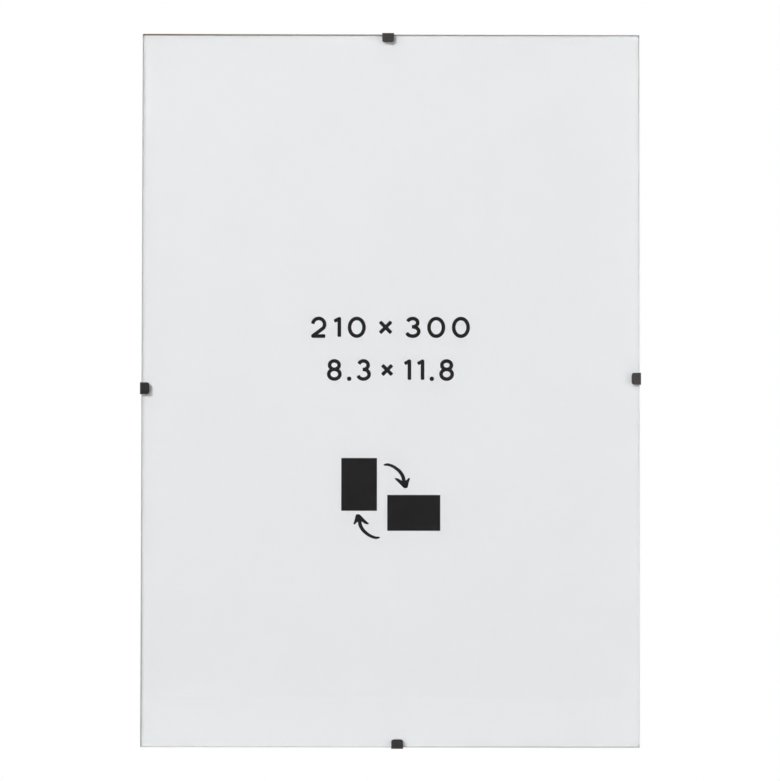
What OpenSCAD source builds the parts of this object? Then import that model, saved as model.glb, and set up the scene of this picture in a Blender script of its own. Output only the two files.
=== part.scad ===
// Clip frame without a moulding, for a sheet of 210 x 300 mm, hung on a wall.
// A glass pane, a printed sheet and a hardboard back are held together by
// four spring clips. Each clip hooks into a slot in the board, arches over the
// back, wraps round the edge and ends in a small lug on the glass.
// Two riveted ring hangers let the frame hang upright or on its side.
//
// Axes: +Z up, the glass faces -Y, the wall is on the +Y side.
// y = 0 is the back face of the board. The origin is the centre of the nail
// that carries the upper ring, where it meets the board's back face.

/* [Stack] */
// Width of the board
frame_w = 210; // [200:1:300]
// Height of the board
frame_h = 300.5; // [280:0.5:420]
// Thickness of the glass pane
glass_t = 2; // [1.8:0.1:3]
// Thickness of the printed sheet
sheet_t = 0.2; // [0.1:0.05:0.4]
// Thickness of the hardboard back
board_t = 2.5; // [2.4:0.1:4]
// How far the glass stops short of the board on each side
glass_inset = 0.1; // [0.05:0.05:0.3]
// How far the sheet stops short of the board on each side
sheet_inset = 0.35; // [0.2:0.05:1]
// How far the sheet lies to the right of the middle
sheet_right = 0; // [-0.1:0.01:0.1]
// How far the sheet lies below the middle
sheet_down = 0.15; // [-0.1:0.01:0.15]
// Degrees that the sheet lies askew, its left end lower
sheet_turn = 0.05; // [0:0.01:0.06]
// Ground seam on every glass edge
arris = 0.3; // [0.2:0.05:0.6]
// Small cut across each glass corner
corner_dub = 0.3; // [0.3:0.1:1.2]

/* [Clips] */
// Thickness of the spring steel
clip_t = 0.4; // [0.35:0.05:0.6]
// Width of the lug and of the edge wall
lug_w = 5; // [4:0.1:7]
// How far the lug reaches over the board's outline
lug_lap = 3.55; // [2.5:0.05:4]
// Width of the back plate
plate_w = 16; // [12:0.5:18]
// Width of the hook that drops into the slot
hook_w = 7; // [5:0.5:7]
// Distance from the edge to the middle of the hook
hook_in = 26.75; // [26:0.25:28]
// Height of the arch, from the board to the middle of its steel
arch_h = 2.65; // [2.6:0.05:3.2]
// How far a clip draws outwards to free the glass
clip_travel = 4.8; // [4.5:0.1:5]
// Shift of the top clip to the right
top_shift = -1.3; // [-5.5:0.1:5.5]
// Shift of the bottom clip to the right
bottom_shift = 3; // [-5.5:0.1:5.5]
// Shift of the left clip upwards
left_shift = 0.5; // [-5.5:0.1:5.5]
// Shift of the right clip upwards
right_shift = 4.9; // [-5.5:0.1:5.5]
// Length of each slot along the edge
slot_w = 19; // [18.6:0.2:21]

/* [Hangers] */
// Distance from the edge to the bar of each ring
hanger_in = 46; // [42:1:60]
// Radius of the ring's wire
wire_r = 0.75; // [0.6:0.05:0.8]
// Height of the ring, from its bar to the middle of its tip
ring_h = 13; // [12:0.5:16]
// Radius of the middle of the wire at the ring's three corners
ring_r = 2.4; // [2.35:0.05:2.8]
// Half of the straight bar
bar_half = 5.6; // [5:0.1:7]
// Width of the strap
strap_w = 8; // [7:0.5:9]
// Thickness of the strap's steel
strap_t = 0.5; // [0.4:0.05:0.6]
// Distance from the bar to the rivet
rivet_drop = 7.5; // [7:0.5:9]
// Radius of the nail that the ring hangs on
nail_r = 1.5; // [1:0.1:1.6]

/* [Hidden] */
$fn = 48;

slack = 0.02;              // sliding clearance between a clip and the stack
web_gap = 0.12;            // between the board's edge and a clip's wall
stack_t = board_t + sheet_t + glass_t;
fit_r = 0.05;              // radial clearance of the bar in its loop
loop_r = wire_r + fit_r;   // inside of the strap's loop
bar_y = loop_r + strap_t;  // height of the bar above the board
// the ring leans until its tip lies on the board
lean = asin((bar_y - wire_r - slack) / ring_h);
hook_up = (ring_h - wire_r) * cos(lean) - nail_r;  // nail's centre above the bar
centre_z = -(frame_h / 2 - hanger_in + hook_up);   // middle of the board

rivet_r = 1.4;
head_r = 2.8;
head_h = 0.7;
flange_r = 2.6;
flange_t = 0.45;
recess_r = 3.2;
recess_t = 0.6;

slot_in = hook_in + clip_t / 2 + 0.3;                 // inner wall of the slot
slot_out = hook_in - clip_t / 2 - clip_travel - 0.35;  // outer wall of the slot

// ---------- plane geometry ----------

function unit(v) = v / norm(v);
function turn(v, a) = [v[0] * cos(a) - v[1] * sin(a), v[0] * sin(a) + v[1] * cos(a)];
function left(d) = [-d[1], d[0]];

// the round that replaces corner b of a path a, b, c: points with their directions
function bend(a, b, c, r, n) =
    let (d1 = unit(b - a), d2 = unit(c - b),
         s = d1[0] * d2[1] - d1[1] * d2[0] > 0 ? 1 : -1,
         ang = acos(max(-1, min(1, d1 * d2))),
         p = b - d1 * (r * tan(ang / 2)),
         m = p + left(d1) * s * r)
    [for (i = [0:n]) let (d = turn(d1, s * ang * i / n)) [m - left(d) * s * r, d]];

// middle line of a bent strip, as points with directions
function strip_line(p, r, n = 8) =
    let (k = len(p) - 1)
    concat([[p[0], unit(p[1] - p[0])]],
           [for (i = [1:k - 1]) for (q = bend(p[i - 1], p[i], p[i + 1], r[i], n)) q],
           [[p[k], unit(p[k] - p[k - 1])]]);

// outline of a strip of thickness t along a path with rounded bends
function strip(p, r, t) =
    let (m = strip_line(p, r), k = len(m) - 1)
    concat([for (i = [0:k]) m[i][0] + left(m[i][1]) * t / 2],
           [for (i = [k:-1:0]) m[i][0] - left(m[i][1]) * t / 2]);

// closed outline with rounded corners
function rounded(p, r, n = 6) =
    let (k = len(p))
    [for (i = [0:k - 1]) for (q = bend(p[(i + k - 1) % k], p[i], p[(i + 1) % k], r[i], n)) q[0]];

// ---------- the stack ----------

// a slab with seamed edges: two bevelled profiles crossed, and its corners dubbed
module seamed_slab(w, h, t, c, dub) {
    intersection() {
        rotate([0, 0, 0]) linear_extrude(h, center = true)
            polygon([[-w / 2 + c, -t], [w / 2 - c, -t], [w / 2, -t + c], [w / 2, -c],
                     [w / 2 - c, 0], [-w / 2 + c, 0], [-w / 2, -c], [-w / 2, -t + c]]);
        rotate([90, 0, 90]) linear_extrude(w + 2, center = true)
            polygon([[-t, -h / 2 + c], [-t + c, -h / 2], [-c, -h / 2], [0, -h / 2 + c],
                     [0, h / 2 - c], [-c, h / 2], [-t + c, h / 2], [-t, h / 2 - c]]);
        rotate([90, 0, 0]) linear_extrude(3 * t, center = true)
            polygon([[-w / 2 + dub, -h / 2], [w / 2 - dub, -h / 2], [w / 2, -h / 2 + dub],
                     [w / 2, h / 2 - dub], [w / 2 - dub, h / 2], [-w / 2 + dub, h / 2],
                     [-w / 2, h / 2 - dub], [-w / 2, -h / 2 + dub]]);
    }
}

module glass_pane() {
    color([0.86, 0.92, 0.9, 0.35])
    translate([0, -board_t - sheet_t, centre_z])
        seamed_slab(frame_w - 2 * glass_inset, frame_h - 2 * glass_inset, glass_t, arris, corner_dub);
}

module insert_sheet() {
    color([0.9, 0.91, 0.92])
    translate([sheet_right, -board_t - sheet_t / 2, centre_z - sheet_down])
    rotate([0, -sheet_turn, 0])
        cube([frame_w - 2 * sheet_inset, sheet_t, frame_h - 2 * sheet_inset], center = true);
}

// one slot at the top edge, seen from the middle of that edge
module slot_cut() {
    rotate([90, 0, 0]) translate([0, 0, -1]) linear_extrude(board_t + 2)
        polygon(rounded([[-slot_w / 2, -slot_in], [slot_w / 2, -slot_in],
                         [slot_w / 2, -slot_out], [-slot_w / 2, -slot_out]],
                        [0.6, 0.6, 0.6, 0.6]));
}

// rivet hole, with a recess on the sheet's side for the closed end
module rivet_cut() {
    translate([0, 0, -rivet_drop]) {
        rotate([90, 0, 0]) translate([0, 0, -1]) cylinder(r = rivet_r + 0.05, h = board_t + 2);
        rotate([90, 0, 0]) translate([0, 0, board_t - recess_t]) cylinder(r = recess_r, h = recess_t + 1);
    }
}

module backing_board() {
    color([0.45, 0.3, 0.17])
    difference() {
        translate([-frame_w / 2, -board_t, centre_z - frame_h / 2]) cube([frame_w, board_t, frame_h]);
        on_edge("top") slot_cut();
        on_edge("bottom") slot_cut();
        on_edge("left") slot_cut();
        on_edge("right") slot_cut();
        portrait_place() rivet_cut();
        landscape_place() rivet_cut();
    }
}

// puts a child made at the middle of the top edge on any edge: local +Z points outwards
module on_edge(side, shift = 0) {
    translate([0, 0, centre_z])
    rotate([0, side == "top" ? 0 : side == "right" ? 90 : side == "bottom" ? 180 : -90, 0])
    translate([shift, 0, (side == "top" || side == "bottom") ? frame_h / 2 : frame_w / 2])
        children();
}

// ---------- spring clips ----------

// middle line from the hook's tip, over the back, round the edge, to the lug's tip:
// first number outwards from the board's edge, second forwards from its back face
// the foot spans the slot and rests on the board between the slot and the edge
foot_u = -slot_out + 2.6;
clip_line = [
    [-hook_in, board_t - 0.6],
    [-hook_in, -clip_t / 2 - slack],
    [foot_u, -clip_t / 2 - slack],
    [foot_u + 3.6, -arch_h],
    [foot_u + 10, -arch_h],
    [-2.4, -clip_t / 2 - web_gap],
    [web_gap + clip_t / 2, -clip_t / 2 - web_gap],
    [web_gap + clip_t / 2, stack_t + clip_t / 2 + slack],
    [-lug_lap, stack_t + clip_t / 2 + slack]];
// tight at the hook and at the board's edge, so that the board's corners stay clear
clip_bends = [0, 0.4, 2.2, 2.2, 2.2, 2.2, 0.4, 0.6, 0];

// where the plate is widest, inwards from the edge
wide_u = foot_u + 6.5;

// plan of the back: narrow wall, flared plate, narrow hook
clip_plan = rounded(
    [[lug_w / 2, 2], [-lug_w / 2, 2], [-lug_w / 2, -3], [-plate_w / 2, wide_u],
     [-plate_w / 2, -hook_in + 1.8], [-hook_w / 2, -hook_in + 1.2], [-hook_w / 2, -hook_in - 1],
     [hook_w / 2, -hook_in - 1], [hook_w / 2, -hook_in + 1.2], [plate_w / 2, -hook_in + 1.8],
     [plate_w / 2, wide_u], [lug_w / 2, -3]],
    [0.1, 0.1, 2.5, 4, 0.9, 0.4, 0.1, 0.1, 0.4, 0.9, 4, 2.5]);
lug_plan = rounded(
    [[lug_w / 2, 2], [-lug_w / 2, 2], [-lug_w / 2, -lug_lap], [lug_w / 2, -lug_lap]],
    [0.1, 0.1, 1.1, 1.1]);

module clip_strip() {
    rotate([180, -90, 0]) linear_extrude(plate_w + 1, center = true)
        polygon(strip(clip_line, clip_bends, clip_t));
}

// plan extruded forwards from depth a to depth b
module plan_block(pts, a, b) {
    rotate([90, 0, 0]) translate([0, 0, a]) linear_extrude(b - a) polygon(pts);
}

module spring_clip() {
    union() {
        intersection() { clip_strip(); plan_block(clip_plan, -arch_h - 1, 3); }
        intersection() { clip_strip(); plan_block(lug_plan, 3, stack_t + 2); }
    }
}

module clip_top() { color([0.16, 0.16, 0.16]) on_edge("top", top_shift) spring_clip(); }
module clip_bottom() { color([0.16, 0.16, 0.16]) on_edge("bottom", -bottom_shift) spring_clip(); }
module clip_left() { color([0.16, 0.16, 0.16]) on_edge("left", left_shift) spring_clip(); }
module clip_right() { color([0.16, 0.16, 0.16]) on_edge("right", -right_shift) spring_clip(); }

// ---------- ring hangers, made with the bar's axis at the local origin's height ----------

module portrait_place() {
    translate([0, 0, centre_z + frame_h / 2 - hanger_in]) children();
}

module landscape_place() {
    translate([-frame_w / 2 + hanger_in, 0, centre_z]) rotate([0, -90, 0]) children();
}

// side view of the folded strap: first number up, second away from the board
module strap_profile() {
    intersection() {
        difference() { translate([0, bar_y]) circle(r = bar_y); translate([0, bar_y]) circle(r = loop_r); }
        translate([0, -1]) square([2 * bar_y + 2, 2 * bar_y + 2]);
    }
    polygon([[0.01, 0], [0.01, strap_t], [-rivet_drop - strap_w, strap_t], [-rivet_drop - strap_w, 0]]);
    polygon([[0.01, 2 * bar_y], [-1.1, 2 * bar_y], [-4.1, 2 * strap_t], [-rivet_drop - strap_w, 2 * strap_t],
             [-rivet_drop - strap_w, strap_t - 0.01], [-3.8, strap_t - 0.01], [-0.85, 2 * bar_y - strap_t],
             [0.01, 2 * bar_y - strap_t]]);
}

module hanger_strap() {
    difference() {
        intersection() {
            rotate([0, -90, 0]) linear_extrude(strap_w, center = true) strap_profile();
            union() {
                rotate([90, 0, 0]) translate([0, -rivet_drop, 0]) cylinder(r = strap_w / 2, h = 20, center = true);
                translate([-strap_w / 2, -10, -rivet_drop]) cube([strap_w, 20, rivet_drop + 5]);
            }
        }
        rotate([90, 0, 0]) translate([0, -rivet_drop, 0]) cylinder(r = rivet_r + 0.05, h = 20, center = true);
    }
}

// wire ring lying in the plane y = 0, with its bar on the local X axis
side_dir = unit([-bar_half, ring_h - 2 * ring_r]);
side_ang = atan2(-side_dir[0], side_dir[1]);
side_len = norm([bar_half, ring_h - 2 * ring_r]);

// straight stretch, which reaches a little into the bends at both of its ends
module wire(len) { translate([0, 0, -0.05]) cylinder(r = wire_r, h = len + 0.1); }

// round of the wire in the ring's plane, from angle a over sweep s: drawn a hair
// thinner there, as bent wire is
module wire_bend(a, s) {
    rotate([90, 0, 0]) rotate([0, 0, a]) rotate_extrude(angle = s)
        translate([ring_r, 0]) circle(r = wire_r - 0.005);
}

module ring_flat() {
    translate([-bar_half, 0, 0]) rotate([0, 90, 0]) wire(2 * bar_half);
    for (k = [0, 1]) mirror([k, 0, 0]) {
        translate([bar_half, 0, ring_r]) wire_bend(-90, 90 + side_ang);
        translate([bar_half + ring_r * cos(side_ang), 0, ring_r + ring_r * sin(side_ang)])
            rotate([0, -side_ang, 0]) wire(side_len);
    }
    translate([0, 0, ring_h - ring_r]) wire_bend(side_ang, 180 - 2 * side_ang);
}

// the ring in its loop, leaning on the board
module hanger_ring() {
    translate([0, bar_y, 0]) rotate([lean, 0, 0]) ring_flat();
}

// domed head on the strap, shank through the board, closed end in the recess
module hanger_rivet() {
    translate([0, 0, -rivet_drop]) rotate([-90, 0, 0]) rotate_extrude()
        polygon(concat(
            [[0, -board_t + 0.9], [rivet_r * 0.55, -board_t + 0.9], [rivet_r * 0.55, -board_t + 0.1],
             [flange_r - 0.2, -board_t + 0.1], [flange_r, -board_t + 0.3],
             [flange_r, -board_t + recess_t - 0.02], [rivet_r, -board_t + recess_t - 0.02],
             [rivet_r, 2 * strap_t], [head_r, 2 * strap_t], [head_r, 2 * strap_t + 0.15]],
            [for (a = [15:15:90]) [head_r * cos(a), 2 * strap_t + 0.15 + (head_h - 0.15) * sin(a)]]));
}

module portrait_strap() { color([0.72, 0.72, 0.7]) portrait_place() hanger_strap(); }
module portrait_ring() { color([0.75, 0.75, 0.74]) portrait_place() hanger_ring(); }
module portrait_rivet() { color([0.7, 0.69, 0.66]) portrait_place() hanger_rivet(); }
module landscape_strap() { color([0.72, 0.72, 0.7]) landscape_place() hanger_strap(); }
module landscape_ring() { color([0.75, 0.75, 0.74]) landscape_place() hanger_ring(); }
module landscape_rivet() { color([0.7, 0.69, 0.66]) landscape_place() hanger_rivet(); }

glass_pane();
insert_sheet();
backing_board();
clip_top();
clip_bottom();
clip_left();
clip_right();
portrait_strap();
portrait_ring();
portrait_rivet();
landscape_strap();
landscape_ring();
landscape_rivet();
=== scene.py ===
import math
import random

import bmesh
import bpy
import numpy as np
from mathutils import Matrix, Vector
from mathutils.geometry import delaunay_2d_cdt


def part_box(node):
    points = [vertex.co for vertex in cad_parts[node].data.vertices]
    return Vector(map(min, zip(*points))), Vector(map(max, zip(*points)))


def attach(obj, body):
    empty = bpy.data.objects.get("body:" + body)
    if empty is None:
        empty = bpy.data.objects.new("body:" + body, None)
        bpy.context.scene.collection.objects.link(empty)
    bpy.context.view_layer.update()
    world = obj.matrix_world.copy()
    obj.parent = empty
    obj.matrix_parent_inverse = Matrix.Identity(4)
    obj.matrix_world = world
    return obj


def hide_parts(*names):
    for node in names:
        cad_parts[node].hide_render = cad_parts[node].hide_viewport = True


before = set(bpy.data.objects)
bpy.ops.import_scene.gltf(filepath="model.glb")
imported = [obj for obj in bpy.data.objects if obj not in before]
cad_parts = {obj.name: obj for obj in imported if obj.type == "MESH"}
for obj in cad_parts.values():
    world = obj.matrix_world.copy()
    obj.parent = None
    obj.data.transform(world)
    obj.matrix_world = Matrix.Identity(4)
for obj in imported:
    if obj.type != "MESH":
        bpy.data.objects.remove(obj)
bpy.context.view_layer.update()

MM = 0.001
random.seed(7)

# ---------------------------------------------------------------- sizes, in mm

lo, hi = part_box("backing_board")
BW, BH = (hi.x - lo.x) / MM, (hi.z - lo.z) / MM        # board
BX, CZ = (hi.x + lo.x) / 2 / MM, (hi.z + lo.z) / 2 / MM
BT = (hi.y - lo.y) / MM
lo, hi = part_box("glass_pane")
GW, GH = (hi.x - lo.x) / MM, (hi.z - lo.z) / MM        # glass
G_BACK, G_FRONT = hi.y / MM, lo.y / MM
lo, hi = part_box("insert_sheet")
SX0, SX1, SZ0, SZ1 = lo.x / MM, hi.x / MM, lo.z / MM, hi.z / MM
PAPER_BACK, PAPER_FRONT = hi.y / MM - 0.005, G_BACK + 0.04
TURN = math.radians(0.05)                                # the sheet lies a little askew
STACK = -G_FRONT


# ---------------------------------------------------------------- mesh helpers

def finish_mesh(name, verts, faces, mats, face_mats=None, body="frame", replaces=(),
                sharp=32, edge_wear_and_highlight=None, weighted=True):
    """A piece from points in mm and faces, welded, with outward normals and sharp edges by angle."""
    me = bpy.data.meshes.new(name)
    me.from_pydata([(x * MM, y * MM, z * MM) for x, y, z in verts], [], faces)
    for m in mats:
        me.materials.append(m)
    if face_mats:
        me.polygons.foreach_set("material_index", face_mats)
    if edge_wear_and_highlight is not None:
        a = me.attributes.new("edge_wear_and_highlight", "FLOAT", "POINT")
        a.data.foreach_set("value", np.asarray(edge_wear_and_highlight, np.float32))
    bm = bmesh.new()
    bm.from_mesh(me)
    bmesh.ops.remove_doubles(bm, verts=bm.verts, dist=1e-7)
    bmesh.ops.dissolve_degenerate(bm, edges=bm.edges, dist=1e-8)
    bmesh.ops.recalc_face_normals(bm, faces=bm.faces)
    bm.to_mesh(me)
    bm.free()
    me.shade_smooth()
    me.set_sharp_from_angle(angle=math.radians(sharp))
    o = bpy.data.objects.new(name, me)
    bpy.context.scene.collection.objects.link(o)
    if weighted:
        w = o.modifiers.new("weighted", "WEIGHTED_NORMAL")
        w.keep_sharp = True
    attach(o, body)
    if replaces:
        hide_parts(*replaces)
    return o


def loft(rings, closed=False):
    """Quads between rings of equal length, capped at both ends unless closed."""
    n = len(rings[0])
    verts = [p for r in rings for p in r]
    faces = []
    last = len(rings) if closed else len(rings) - 1
    for i in range(last):
        a, b = i * n, ((i + 1) % len(rings)) * n
        for j in range(n):
            k = (j + 1) % n
            faces.append((a + j, a + k, b + k, b + j))
    if not closed:
        faces.append(tuple(range(n - 1, -1, -1)))
        faces.append(tuple(range((len(rings) - 1) * n, len(rings) * n)))
    return verts, faces


def unit(x, y):
    k = math.hypot(x, y)
    return x / k, y / k


def midline(pts, radii, seg=10, step=0.5):
    """Points and directions along a bent strip's middle, dense enough to follow its outline."""
    out = [(pts[0], unit(pts[1][0] - pts[0][0], pts[1][1] - pts[0][1]))]
    for i in range(1, len(pts)):
        if i == len(pts) - 1:
            end, arc = pts[i], []
            d1 = unit(pts[i][0] - pts[i - 1][0], pts[i][1] - pts[i - 1][1])
        else:
            a, b, c = pts[i - 1], pts[i], pts[i + 1]
            d1, d2 = unit(b[0] - a[0], b[1] - a[1]), unit(c[0] - b[0], c[1] - b[1])
            s = 1 if d1[0] * d2[1] - d1[1] * d2[0] > 0 else -1
            ang = math.acos(max(-1, min(1, d1[0] * d2[0] + d1[1] * d2[1])))
            r = radii[i]
            p = (b[0] - d1[0] * r * math.tan(ang / 2), b[1] - d1[1] * r * math.tan(ang / 2))
            m = (p[0] - d1[1] * s * r, p[1] + d1[0] * s * r)
            arc = []
            for k in range(seg + 1):
                t = s * ang * k / seg
                d = (d1[0] * math.cos(t) - d1[1] * math.sin(t), d1[0] * math.sin(t) + d1[1] * math.cos(t))
                arc.append(((m[0] + d[1] * s * r, m[1] - d[0] * s * r), d))
            end = arc[0][0]
        last = out[-1][0]
        length = math.hypot(end[0] - last[0], end[1] - last[1])
        k = max(1, int(math.ceil(length / step)))
        for j in range(1, k):
            out.append(((last[0] + (end[0] - last[0]) * j / k, last[1] + (end[1] - last[1]) * j / k), d1))
        out += arc if arc else [(end, d1)]
    clean = [out[0]]
    for p, d in out[1:]:
        if math.hypot(p[0] - clean[-1][0][0], p[1] - clean[-1][0][1]) > 1e-4:
            clean.append((p, d))
    return clean


def add_stations(line, distances):
    """Extra stations at given distances from the start (or, when negative, from the end)."""
    s = [0.0]
    for (a, _), (b, _) in zip(line, line[1:]):
        s.append(s[-1] + math.hypot(b[0] - a[0], b[1] - a[1]))
    total = s[-1]
    want = sorted(set([round(d if d >= 0 else total + d, 5) for d in distances if abs(d) < total] +
                      [round(x, 5) for x in s]))
    out, keep = [], []
    for w in want:
        if keep and w - keep[-1] < 0.004:
            continue
        i = max(0, min(len(s) - 2, int(np.searchsorted(s, w, side="right")) - 1))
        t = 0 if s[i + 1] == s[i] else min(1, (w - s[i]) / (s[i + 1] - s[i]))
        (p, d), (q, e) = line[i], line[i + 1]
        dd = unit(d[0] * (1 - t) + e[0] * t, d[1] * (1 - t) + e[1] * t)
        out.append(((p[0] + (q[0] - p[0]) * t, p[1] + (q[1] - p[1]) * t), dd))
        keep.append(w)
    return out, keep


def ribbon(line, dist, half, thick, place, rc=0.07, spans=6, ends=(True, True)):
    """A bent strip: its section is a rectangle with rounded corners, and its ends are rounded too.
    half(distance, total, point) is half of its width there. Returns points, faces and a weight on the rounded edges,
    for edge wear and a painted highlight."""
    total = dist[-1]
    stations = []
    for (p, d), s in zip(line, dist):
        stations.append((p, d, half(s, total, p), 0.0))
    k = 3
    if ends[0]:
        p, d, h, _ = stations[0]
        stations = [((p[0] + d[0] * rc * (1 - math.sin(a)), p[1] + d[1] * rc * (1 - math.sin(a))), d, h,
                     rc * (1 - math.cos(a))) for a in [math.pi / 2 * (1 - i / k) for i in range(k + 1)]] + \
            [x for x, q in zip(stations, dist) if q > rc * 1.3]
    if ends[1]:
        p, d, h, _ = stations[-1]
        stations = [x for x in stations if math.hypot(x[0][0] - p[0], x[0][1] - p[1]) > rc * 1.3] + \
            [((p[0] - d[0] * rc * (1 - math.sin(a)), p[1] - d[1] * rc * (1 - math.sin(a))), d, h,
              rc * (1 - math.cos(a))) for a in [math.pi / 2 * i / k for i in range(k + 1)]]
    rings, edge_wear_and_highlight = [], []
    for p, d, h, inset in stations:
        hw, ht, r = h - inset, thick / 2 - inset, max(rc - inset * 0.9, 0.012)
        ring, w = [], []
        for cx, cy, a0 in ((hw - r, ht - r, 0), (-hw + r, ht - r, 90), (-hw + r, -ht + r, 180), (hw - r, -ht + r, 270)):
            for q in range(4):
                a = math.radians(a0 + 30 * q)
                ring.append((cx + r * math.cos(a), cy + r * math.sin(a)))
                w.append(1.0)
            if a0 in (0, 180):
                sx = 1 if a0 == 0 else -1
                for j in range(1, spans):
                    x = (hw - r) * (1 - 2 * j / spans) * sx
                    ring.append((x, (ht if a0 == 0 else -ht)))
                    w.append(0.35 if inset else 0.0)
        n = (-d[1], d[0])
        rings.append([place(p[0] + n[0] * y, x, p[1] + n[1] * y) for x, y in ring])
        edge_wear_and_highlight += w
    verts, faces = loft(rings)
    return verts, faces, edge_wear_and_highlight


def sweep_ring(path, r, sides=28):
    """Round wire along a closed plane path of (point, direction), both (x, z), in the plane y = 0."""
    rings = []
    for (x, z), (dx, dz) in path:
        ring = []
        for j in range(sides):
            a = 2 * math.pi * j / sides
            ring.append((x + r * math.cos(a) * dz, r * math.sin(a), z - r * math.cos(a) * dx))
        rings.append(ring)
    return loft(rings, closed=True)


def lathe(profile, place, sides=64):
    """A round piece from (radius, height) points, first and last on the axis."""
    verts, faces, starts = [], [], []
    for r, h in profile:
        starts.append(len(verts))
        if r < 1e-6:
            verts.append(place(0, h, 0))
        else:
            for j in range(sides):
                a = 2 * math.pi * j / sides
                verts.append(place(r * math.cos(a), h, r * math.sin(a)))
    for i in range(len(profile) - 1):
        a, b = starts[i], starts[i + 1]
        ra, rb = profile[i][0] > 1e-6, profile[i + 1][0] > 1e-6
        for j in range(sides):
            k = (j + 1) % sides
            if ra and rb:
                faces.append((a + j, a + k, b + k, b + j))
            elif ra:
                faces.append((a + j, a + k, b))
            elif rb:
                faces.append((a, b + k, b + j))
    return verts, faces


# ---------------------------------------------------------------- materials

def material(name):
    m = bpy.data.materials.new(name)
    m.use_nodes = True
    m.node_tree.nodes.clear()
    return m, Net(m.node_tree)


class Net:
    """Short names for the nodes of one material."""

    def __init__(self, tree):
        self.t = tree
        self.coord = None

    def add(self, kind, **props):
        n = self.t.nodes.new(kind)
        for k, v in props.items():
            setattr(n, k, v)
        return n

    def link(self, a, b):
        self.t.links.new(a, b)

    def position(self, scale=(1, 1, 1)):
        if self.coord is None:
            self.coord = self.add("ShaderNodeTexCoord")
        if tuple(scale) == (1, 1, 1):
            return self.coord.outputs["Object"]
        mp = self.add("ShaderNodeMapping")
        mp.inputs["Scale"].default_value = scale
        self.link(self.coord.outputs["Object"], mp.inputs["Vector"])
        return mp.outputs["Vector"]

    def noise(self, scale, detail=4.0, rough=0.55, stretch=(1, 1, 1), distortion=0.0):
        n = self.add("ShaderNodeTexNoise")
        n.inputs["Scale"].default_value = scale
        n.inputs["Detail"].default_value = detail
        n.inputs["Roughness"].default_value = rough
        n.inputs["Distortion"].default_value = distortion
        self.link(self.position(stretch), n.inputs["Vector"])
        return n.outputs["Fac"]

    def voronoi(self, scale, stretch=(1, 1, 1), feature="F1"):
        n = self.add("ShaderNodeTexVoronoi", feature=feature)
        n.inputs["Scale"].default_value = scale
        self.link(self.position(stretch), n.inputs["Vector"])
        return n.outputs["Distance"]

    def ramp(self, fac, stops, interpolation="LINEAR"):
        n = self.add("ShaderNodeValToRGB")
        n.color_ramp.interpolation = interpolation
        e = n.color_ramp.elements
        while len(e) < len(stops):
            e.new(0.5)
        for el, (pos, col) in zip(e, stops):
            el.position = pos
            el.color = (*col, 1) if hasattr(col, "__len__") else (col, col, col, 1)
        self.link(fac, n.inputs["Fac"])
        return n.outputs["Color"]

    def span(self, fac, a, b, lo=0.0, hi=1.0):
        n = self.add("ShaderNodeMapRange")
        for k, v in (("From Min", lo), ("From Max", hi), ("To Min", a), ("To Max", b)):
            n.inputs[k].default_value = v
        self.link(fac, n.inputs["Value"])
        return n.outputs["Result"]

    def mix(self, fac, a, b, blend="MIX"):
        n = self.add("ShaderNodeMix", data_type="RGBA", blend_type=blend)
        for s, v in ((n.inputs[0], fac), (n.inputs[6], a), (n.inputs[7], b)):
            if isinstance(v, (int, float)):
                s.default_value = v
            elif isinstance(v, tuple):
                s.default_value = (*v, 1)
            else:
                self.link(v, s)
        return n.outputs[2]

    def math(self, op, a, b=None):
        n = self.add("ShaderNodeMath", operation=op)
        for s, v in zip(n.inputs, (a, b)):
            if v is None:
                continue
            if isinstance(v, (int, float)):
                s.default_value = v
            else:
                self.link(v, s)
        return n.outputs[0]

    def attribute(self, name):
        n = self.add("ShaderNodeAttribute", attribute_name=name)
        return n.outputs["Fac"]

    def bump(self, height, strength, distance, normal=None):
        n = self.add("ShaderNodeBump")
        n.inputs["Strength"].default_value = strength
        n.inputs["Distance"].default_value = distance
        self.link(height, n.inputs["Height"])
        if normal is not None:
            self.link(normal, n.inputs["Normal"])
        return n.outputs["Normal"]

    def principled(self, **sockets):
        n = self.add("ShaderNodeBsdfPrincipled")
        for k, v in sockets.items():
            s = n.inputs[k.replace("_", " ")]
            if isinstance(v, (int, float)):
                s.default_value = v
            elif isinstance(v, tuple):
                s.default_value = (*v, 1) if len(v) == 3 and s.type == "RGBA" else v
            else:
                self.link(v, s)
        return n.outputs["BSDF"]

    def output(self, shader):
        n = self.add("ShaderNodeOutputMaterial")
        self.link(shader, n.inputs["Surface"])


def clear_glass():
    """Polished float glass. Light for the sheet behind goes straight through it."""
    m, n = material("float_glass")
    glass = n.principled(Base_Color=(1.0, 1.0, 1.0), Roughness=0.0, IOR=1.5, Transmission_Weight=1.0)
    clear = n.add("ShaderNodeBsdfTransparent")
    clear.inputs["Color"].default_value = (0.975, 0.978, 0.978, 1)
    path = n.add("ShaderNodeLightPath")
    mixer = n.add("ShaderNodeMixShader")
    n.link(path.outputs["Is Shadow Ray"], mixer.inputs[0])
    n.link(glass, mixer.inputs[1])
    n.link(clear.outputs[0], mixer.inputs[2])
    n.output(mixer.outputs[0])
    return m


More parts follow.
